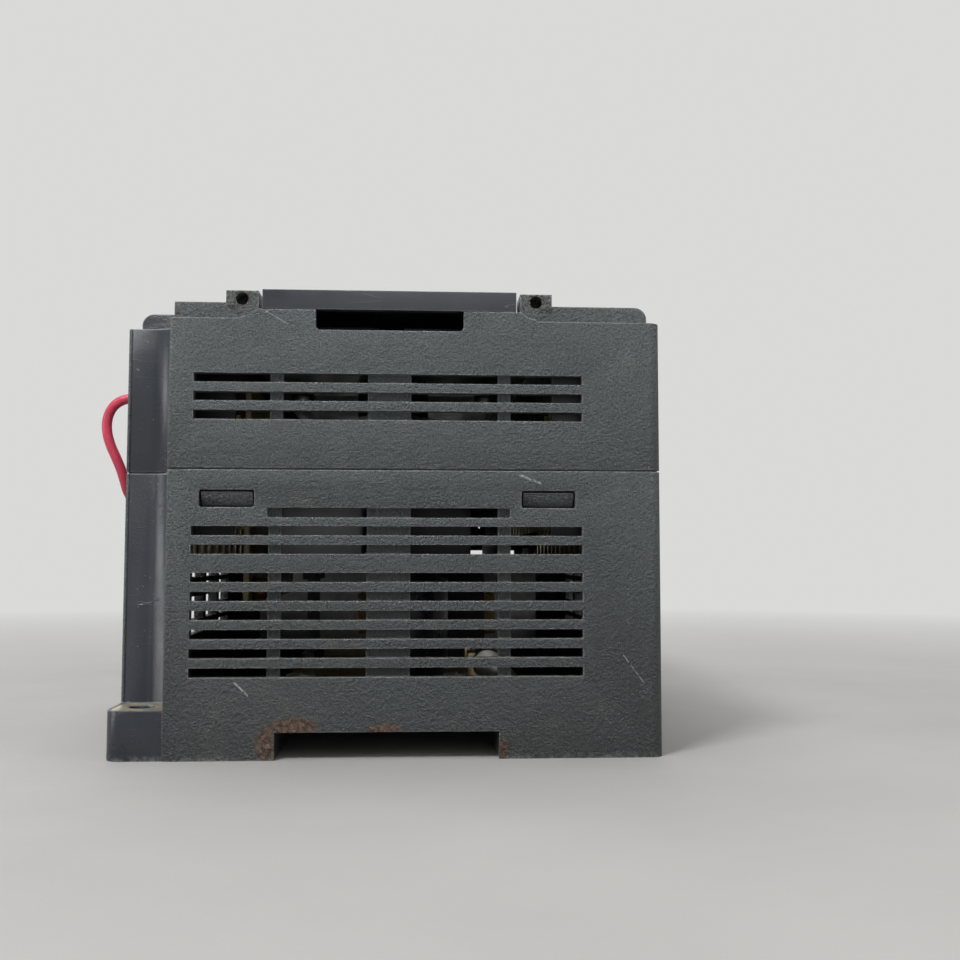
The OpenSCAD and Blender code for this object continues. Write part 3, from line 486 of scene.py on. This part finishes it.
def plain_plastic(name, base, roughness=0.42, grain=0.35, depth=0.025, dusty=0.25, worn=0.5):
    """Moulded plastic or resin with mottling, dust on its upper faces and rubbed edges."""
    s = Surface(name, roughness=roughness)
    tone = s.mottle(base, 5)
    upward = s.span(s.axis("Z", s.normal), 0.5, 0.95)
    dust = s.all_of(upward, s.span(s.noise(1.6, 6.0, 0.7), 0.42, 0.72, 0.03, dusty))
    tone = s.mix(dust, tone, DUST)
    wear = s.all_of(s.edges(0.3), s.span(s.noise(0.9, 3.0, 0.7), 0.3, 0.6))
    tone = s.mix(s.math("MULTIPLY", wear, worn), tone, tuple(0.12 + 0.8 * c for c in base))
    rough = s.vary(roughness - 0.08, roughness + 0.12, 2.4, 4.0, 0.6)
    return s.finish(tone, rough, s.bump(s.noise(grain, 3.0, 0.6), depth))


def terminal_plastic(name):
    return plain_plastic(name, (0.022, 0.023, 0.025), 0.4, dusty=0.35)


def black_plastic(name):
    return plain_plastic(name, (0.024, 0.025, 0.026), 0.45, dusty=0.3)


def white_plastic(name):
    return plain_plastic(name, (0.62, 0.60, 0.54), 0.4, dusty=0.15, worn=0.2)


def grey_resin(name):
    return plain_plastic(name, (0.24, 0.25, 0.25), 0.5)


def blue_resin(name):
    return plain_plastic(name, (0.03, 0.10, 0.30), 0.3, depth=0.01)


def ferrite(name):
    return plain_plastic(name, (0.016, 0.015, 0.015), 0.55, grain=0.2, depth=0.03)


def lamp_resin(name):
    return plain_plastic(name, (0.55, 0.50, 0.30), 0.2, depth=0.005, dusty=0.05, worn=0.1)


TERMINAL_PITCH = 7.5


def marker_plastic(name):
    """Off-white strip, divided by a fine printed line between the terminals."""
    s = Surface(name, roughness=0.5)
    tone = s.mottle((0.55, 0.54, 0.48), 6, high=1.1)
    tone = s.mix(s.span(s.noise(1.4, 6.0, 0.75), 0.5, 0.75, 0.0, 0.5), tone, (0.22, 0.20, 0.16))
    line = s.divisions(TERMINAL_PITCH, 0.12)
    tone = s.mix(s.math("MULTIPLY", line, 0.8), tone, (0.03, 0.03, 0.035))
    wear = s.all_of(s.edges(0.2), s.span(s.noise(1.2, 3.0), 0.4, 0.6))
    tone = s.mix(s.math("MULTIPLY", wear, 0.5), tone, (0.30, 0.28, 0.23))
    return s.finish(tone, s.vary(0.42, 0.6, 3), s.bump(s.noise(0.4), 0.01))


def plate_film(name):
    """Satin label film with a printed frame and blank fields."""
    s = Surface(name, roughness=0.35)
    base = (0.20, 0.21, 0.215)
    brushed = s.noise(0.25, 3.0, 0.6, s.stretched((1, 14, 1)))
    tone = s.mix(s.span(brushed, 0.3, 0.7), shade(base, 0.85), shade(base, 1.15))
    ink = (0.46, 0.47, 0.46)
    frame_line = s.math("SUBTRACT", s.rectangle(-13, 13, -12, 6),
                        s.rectangle(-12.6, 12.6, -11.6, 5.6))
    bar = s.rectangle(-11.2, 11.2, 2.4, 4.2)
    stripes = s.math("GREATER_THAN", s.math("PINGPONG", s.axis("Y"), 1.1 * MM), 0.85 * MM)
    rows = s.all_of(s.rectangle(-11.2, 4, -9.8, 0.6), stripes)
    tone = s.mix(s.any_of(frame_line, bar, s.math("MULTIPLY", rows, 0.7)), tone, ink)
    tone = s.dusted(tone, 3, 0.3, 0.45, 0.75)
    marks = s.scratches(1.9, 0.006, (0, 0, 40))
    tone = s.mix(s.math("MULTIPLY", marks, 0.5), tone, (0.4, 0.4, 0.4))
    return s.finish(tone, s.vary(0.3, 0.5, 2, 4.0), s.bump(brushed, 0.004))


LAMP_PITCH = 2.6


def lens_plastic(name):
    """Smoky lamp strips with a faint line between the lamps."""
    s = Surface(name, roughness=0.22, Transmission_Weight=0.35, IOR=1.49)
    line = s.divisions(LAMP_PITCH, 0.08)
    tone = s.mix(s.span(s.noise(4), 0.3, 0.7), (0.42, 0.38, 0.30), (0.52, 0.47, 0.38))
    tone = s.mix(s.math("MULTIPLY", line, 0.7), tone, (0.05, 0.05, 0.05))
    tone = s.dusted(tone, 1.6, 0.4)
    return s.finish(tone, s.vary(0.16, 0.34, 2), s.bump(s.noise(0.8), 0.01))


def metal(name, base, roughness, tarnish, brushed=(1, 1, 1), depth=0.01, dull=0.45):
    """Metal with fine tool marks, patches of tarnish and bright edges."""
    s = Surface(name, roughness=roughness, metallic=1.0)
    marks = s.noise(0.2, 3.0, 0.6, s.stretched(brushed))
    tone = s.mix(s.span(marks, 0.3, 0.7), shade(base, 0.86), shade(base, 1.1))
    patches = s.span(s.noise(1.5, 5.0, 0.7), 0.42, 0.72, 0.0, dull)
    tone = s.mix(patches, tone, tarnish)
    tone = s.mix(s.math("MULTIPLY", s.edges(0.15), 0.4), tone, shade(base, 1.3))
    rough = s.math("ADD", s.span(marks, 0.3, 0.7, roughness - 0.06, roughness + 0.08),
                   s.math("MULTIPLY", patches, 0.35))
    return s.finish(tone, rough, s.bump(marks, depth), s.span(patches, 0.0, 1.0, 1.0, 0.45))


def pin_steel(name):
    return metal(name, (0.60, 0.60, 0.61), 0.25, (0.30, 0.27, 0.23), (0.1, 1, 1))


def screw_steel(name):
    return metal(name, (0.62, 0.61, 0.57), 0.32, (0.30, 0.26, 0.19), depth=0.015)


def contact_brass(name):
    return metal(name, (0.72, 0.60, 0.36), 0.3, (0.28, 0.20, 0.11))


def copper_wire(name):
    return metal(name, (0.86, 0.42, 0.22), 0.22, (0.40, 0.16, 0.08), dull=0.25)


def sink_aluminium(name):
    return metal(name, (0.40, 0.41, 0.41), 0.4, (0.22, 0.22, 0.21), (1, 1, 0.1))


def wire_pvc(name):
    s = Surface(name, roughness=0.38)
    tone = s.mottle((0.45, 0.032, 0.068), 2.5, 0.82, 1.2, 3.0)
    smudge = s.span(s.noise(1.8, 5.0, 0.7), 0.52, 0.78, 0.0, 0.45)
    tone = s.mix(smudge, tone, (0.12, 0.03, 0.035))
    return s.finish(tone, s.vary(0.28, 0.46, 1.2, 3.0), s.bump(s.noise(0.3, 3.0), 0.015))


SLEEVE_ROOT = 43.2


def lug_sleeve(name):
    """Tinned fork under the screw, insulating sleeve beyond the edge of the block."""
    s = Surface(name, roughness=0.35)
    outward = s.math("ABSOLUTE", s.axis("X"))
    fork = s.span(outward, (SLEEVE_ROOT - 0.1) * MM, SLEEVE_ROOT * MM, 1.0, 0.0)
    plastic = s.mix(s.span(s.noise(1.5, 3.0), 0.3, 0.7), (0.30, 0.016, 0.03), (0.42, 0.025, 0.045))
    tin = s.mix(s.span(s.noise(0.8, 4.0), 0.35, 0.7), (0.66, 0.65, 0.62), (0.40, 0.37, 0.31))
    tone = s.mix(fork, plastic, tin)
    rough = s.vary(0.3, 0.45, 0.9, 3.0)
    return s.finish(tone, rough, s.bump(s.noise(0.35, 3.0), 0.012), fork)


def laminate(name, base, track):
    """Circuit board: lacquer over faint tracks, with woven glass or paper below."""
    s = Surface(name, roughness=0.4)
    weave = s.noise(0.5, 3.0, 0.6, s.stretched((1, 3, 1)))
    tone = s.mix(s.span(weave, 0.3, 0.7), shade(base, 0.85), shade(base, 1.12))
    grid = s.node("ShaderNodeTexBrick",
                  {"Vector": s.place, "Scale": 1 / (9 * MM), "Color1": (0, 0, 0),
                   "Color2": (0, 0, 0), "Mortar": (1, 1, 1), "Mortar Size": 0.05,
                   "Mortar Smooth": 0.1, "Brick Width": 0.9, "Row Height": 0.17},
                  "Color", offset=0.37, squash=1.6, squash_frequency=3)
    share = s.span(s.noise(12, 2.0), 0.42, 0.5, 0.0, 0.85)
    tone = s.mix(s.math("MULTIPLY", grid, share), tone, track)
    pads = s.span(s.cells(2.54, randomness=0.15), 0.2, 0.24, 0.7, 0.0)
    pads = s.all_of(pads, s.span(s.noise(8, 1.0), 0.55, 0.58))
    tone = s.mix(pads, tone, (0.62, 0.60, 0.52))
    tone = s.dusted(tone, 2, 0.3)
    rough = s.vary(0.28, 0.5, 4, 3.0)
    return s.finish(tone, rough, s.bump(s.math("ADD", s.math("MULTIPLY", grid, share), pads), 0.03))


def green_laminate(name):
    return laminate(name, (0.020, 0.085, 0.038), (0.045, 0.16, 0.07))


def tan_laminate(name):
    return laminate(name, (0.19, 0.125, 0.045), (0.28, 0.20, 0.08))


def winding_tape(name):
    """Yellow film wound round the coils, with the wraps showing as fine lines."""
    s = Surface(name, roughness=0.3)
    wrap = s.noise(0.5, 2.0, 0.5, s.stretched((0.2, 0.2, 3)))
    tone = s.mix(s.span(wrap, 0.35, 0.65), (0.22, 0.12, 0.025), (0.32, 0.20, 0.05))
    tone = s.dusted(tone, 3, 0.35, 0.5, 0.75, 5.0)
    return s.finish(tone, s.vary(0.22, 0.42, 2), s.bump(wrap, 0.03))


def capacitor_sleeve(name):
    """Black shrink sleeve; the flat end shows bare aluminium."""
    s = Surface(name, roughness=0.3)
    tone = s.mix(s.span(s.noise(3, 4.0), 0.3, 0.7), (0.010, 0.012, 0.020), (0.016, 0.019, 0.030))
    end = s.math("GREATER_THAN", s.math("ABSOLUTE", s.axis("Z", s.normal)), 0.9)
    tin = s.mix(s.span(s.noise(0.6, 4.0), 0.3, 0.7), (0.24, 0.24, 0.23), (0.36, 0.36, 0.35))
    tone = s.mix(end, tone, tin)
    tone = s.dusted(tone, 2, 0.25)
    rough = s.vary(0.24, 0.4, 2.5)
    return s.finish(tone, rough, s.bump(s.noise(1.2, 2.0), 0.02), s.math("MULTIPLY", end, 0.9))


FUSE_CAP_LENGTH = 5


def fuse_glass(name):
    """Glass tube with nickel caps at both ends."""
    s = Surface(name, roughness=0.08, Transmission_Weight=0.6, IOR=1.5)
    low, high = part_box("fuse")
    clear = s.between(s.axis("Y"), low.y / MM + FUSE_CAP_LENGTH, high.y / MM - FUSE_CAP_LENGTH, 0.1)
    nickel = s.mix(s.span(s.noise(0.8, 4.0), 0.3, 0.7), (0.66, 0.64, 0.60), (0.50, 0.47, 0.42))
    glass = s.mix(s.span(s.noise(2), 0.3, 0.7), (0.75, 0.80, 0.80), (0.85, 0.90, 0.90))
    rough = s.span(clear, 0.0, 1.0, 0.3, 0.08)
    return s.finish(s.mix(clear, nickel, glass), rough, s.bump(s.noise(0.5), 0.004),
                    s.math("SUBTRACT", 1.0, clear))


SURROUND = (0.70, 0.70, 0.685)

# the floor, in metres
FLOOR_RADIUS = 12
FADE_FROM, FADE_TO = 0.11, 0.5


def floor_paper(name):
    """Plain pale studio floor that melts into the surroundings away from the object."""
    s = Surface(name, roughness=0.9)
    tone = s.mix(s.span(s.noise(60, 4.0, 0.6), 0.3, 0.7), (0.29, 0.285, 0.277), (0.32, 0.315, 0.306))
    s.finish(tone, None, s.bump(s.noise(1.5, 3.0), 0.05))
    distance = s.node("ShaderNodeVectorMath", {0: s.place}, "Value", operation="LENGTH")
    glow = s.node("ShaderNodeEmission", {"Color": SURROUND}, "Emission")
    far = s.node("ShaderNodeMixShader", {0: s.span(distance, FADE_FROM, FADE_TO),
                                         1: s.shader.outputs[0], 2: glow})
    output = s.tree.nodes["Material Output"]
    s.tree.links.new(far, output.inputs["Surface"])
    return s.material


MATERIALS = {maker.__name__: maker for maker in (
    case_plastic, cover_plastic, pin_steel, plate_film, lens_plastic, terminal_plastic,
    screw_steel, contact_brass, marker_plastic, wire_pvc, lug_sleeve, green_laminate,
    tan_laminate, black_plastic, lamp_resin, capacitor_sleeve, grey_resin, blue_resin, ferrite,
    copper_wire, winding_tape, fuse_glass, sink_aluminium, white_plastic)}
finished = {}


def material(slot):
    """The material of a slot, made when first asked for."""
    if slot not in finished:
        finished[slot] = MATERIALS[slot](slot)
    return finished[slot]


def dress(piece, slot):
    piece.data.materials.clear()
    piece.data.materials.append(material(slot))


# ---------------------------------------------------------------- shapes


WELD_DISTANCE = 0.002
FLAT_ANGLE = 1
SHARP_ANGLE = 40


def soften(piece, width):
    """Joins the facets of flat faces, rounds the sharp edges and evens the shading."""
    weld = piece.modifiers.new("weld", "WELD")
    weld.merge_threshold = WELD_DISTANCE * MM
    flatten = piece.modifiers.new("flatten", "DECIMATE")
    flatten.decimate_type = "DISSOLVE"
    flatten.angle_limit = math.radians(FLAT_ANGLE)
    rounding = piece.modifiers.new("rounding", "BEVEL")
    rounding.width = width * MM
    rounding.segments = 2
    rounding.limit_method = "ANGLE"
    rounding.angle_limit = math.radians(SHARP_ANGLE)
    rounding.use_clamp_overlap = True
    rounding.harden_normals = True
    for face in piece.data.polygons:
        face.use_smooth = True


def helix(start, end, radius, turns, steps=16):
    """Points of an even coil about the line from start to end."""
    start, end = Vector(start), Vector(end)
    axis = (end - start).normalized()
    side = axis.orthogonal().normalized()
    other = axis.cross(side)
    count = int(turns * steps)
    points = []
    for i in range(count + 1):
        angle = 2 * math.pi * i / steps
        around = side * math.cos(angle) + other * math.sin(angle)
        points.append(start + (end - start) * (i / count) + around * radius)
    return points


# rounding of the edges of each node, in millimetres; the rest take the usual one
USUAL_ROUNDING = 0.12
ROUNDING = {
    "lower_case": 0.22, "upper_case": 0.22, "front_cover": 0.28, "extension_flap": 0.28,
    "port_flap": 0.28, "name_plate": 0.08, "lamp_lenses": 0.15, "jumper_lugs": 0.1,
    "extension_flap_pin": 0.15, "port_flap_pin": 0.15, "transformer_core": 0.25,
    "transformer_winding": 0.6, "film_capacitors": 0.5, "surge_suppressors": 1.0,
    "bulk_capacitors": 0.5, "relays": 0.35, "optocouplers": 0.3, "backup_capacitor": 0.5,
    "choke_core": 0.12, "fuse": 0.3, "processor_chip": 0.1, "memory_chips": 0.1,
    "status_lamps": 0.1, "main_board": 0.08, "io_board": 0.08, "power_board": 0.08,
    "interface_board": 0.08,
}


def dress_cad_nodes():
    for part in frame["record"]["subparts"]:
        piece = nodes[part["node"]]
        dress(piece, part["material_slot"])
        soften(piece, ROUNDING.get(part["node"], USUAL_ROUNDING))


SPRING_RADIUS = 0.88
SPRING_WIRE = 0.22
SPRING_TURNS = 10


def make_latch_spring(node):
    """A wound steel spring between the latch and its peg, fixed to the case."""
    low, high = (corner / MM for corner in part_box(node))
    centre = (low + high) / 2
    start = (low.x + SPRING_WIRE, centre.y, centre.z)
    end = (high.x - SPRING_WIRE, centre.y, centre.z)
    spring = tube(node + "_coil", helix(start, end, SPRING_RADIUS, SPRING_TURNS), SPRING_WIRE)
    dress(spring, "pin_steel")
    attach(spring, "case")
    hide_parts(node)
    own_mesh(spring)


CHOKE_WIRE = 0.17


def make_choke_turns():
    """Two layers of enamelled copper wire on the drum of the choke."""
    low, high = (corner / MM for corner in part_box("choke_winding"))
    centre = (low + high) / 2
    outer = (high.z - low.z) / 2 - CHOKE_WIRE
    turns = int((high.x - low.x - CHOKE_WIRE) / (2 * CHOKE_WIRE))
    start = (low.x + CHOKE_WIRE, centre.y, centre.z)
    end = (high.x - CHOKE_WIRE, centre.y, centre.z)
    points = helix(start, end, outer, turns, 24)
    points += helix(end, start, outer - 1.7 * CHOKE_WIRE, turns, 24)
    coil = tube("choke_turns", points, CHOKE_WIRE, 6)
    dress(coil, "copper_wire")
    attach(coil, "case")
    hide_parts("choke_winding")


dress(jumper_wire, "wire_pvc")
dress_cad_nodes()
make_latch_spring("latch_spring_near")
make_latch_spring("latch_spring_far")
make_choke_turns()

# ---------------------------------------------------------------- floor and light


def make_floor():
    """A wide pale disc whose edge melts into the surroundings."""
    bpy.ops.mesh.primitive_circle_add(vertices=96, radius=FLOOR_RADIUS, fill_type="NGON")
    floor = bpy.context.object
    floor.name = "floor"
    floor.data.materials.append(floor_paper("floor_paper"))


LIGHTS_AIM = (0, 0, 0.04)


def soft_box(name, at, size, power):
    """A square area light, aimed at the object's middle, in metres and watts."""
    data = bpy.data.lights.new(name, "AREA")
    data.shape = "SQUARE"
    data.size = size
    data.energy = power
    light = bpy.data.objects.new(name, data)
    bpy.context.scene.collection.objects.link(light)
    light.location = at
    light.rotation_euler = (Vector(LIGHTS_AIM) - Vector(at)).to_track_quat("-Z", "Y").to_euler()


def make_surroundings():
    """Plain pale backdrop; as a light it is brightest overhead and dimmer from the front."""
    world = bpy.data.worlds.new("studio")
    world.use_nodes = True
    tree = world.node_tree
    background = tree.nodes["Background"]
    direction = tree.nodes.new("ShaderNodeTexCoord").outputs["Generated"]
    parts = tree.nodes.new("ShaderNodeSeparateXYZ")
    tree.links.new(direction, parts.inputs[0])

    def ramp(socket, low, high, to_low, to_high):
        node = tree.nodes.new("ShaderNodeMapRange")
        tree.links.new(socket, node.inputs["Value"])
        for name, value in zip(("From Min", "From Max", "To Min", "To Max"),
                               (low, high, to_low, to_high)):
            node.inputs[name].default_value = value
        return node.outputs[0]

    def combine(operation, a, b):
        node = tree.nodes.new("ShaderNodeMath")
        node.operation = operation
        tree.links.new(a, node.inputs[0])
        tree.links.new(b, node.inputs[1])
        return node.outputs[0]

    overhead = ramp(parts.outputs["Z"], 0.0, 0.9, 0.18, 0.7)
    from_back = ramp(parts.outputs["Y"], -0.9, 0.4, 0.45, 1.1)
    light = combine("MULTIPLY", overhead, from_back)
    colour = tree.nodes.new("ShaderNodeMix")
    colour.data_type = "RGBA"
    tree.links.new(tree.nodes.new("ShaderNodeLightPath").outputs["Is Camera Ray"],
                   colour.inputs[0])
    tree.links.new(light, colour.inputs[6])
    colour.inputs[7].default_value = (*SURROUND, 1)
    tree.links.new(colour.outputs[2], background.inputs["Color"])
    bpy.context.scene.world = world


def make_studio():
    make_surroundings()
    bpy.context.scene.view_settings.view_transform = "Standard"
    soft_box("overhead", (-0.05, 0.15, 0.9), 0.6, 3.2)
    soft_box("key", (-0.17, -0.30, 0.42), 0.12, 2.0)
    soft_box("front", (0.1, -1.0, 0.35), 0.8, 1.9)
    soft_box("left", (-0.95, -0.35, 0.25), 0.35, 2.3)
    soft_box("right", (0.9, -0.35, 0.5), 0.6, 2.4)
    soft_box("behind", (-0.1, 0.95, 0.55), 0.7, 3.0)


make_floor()
make_studio()
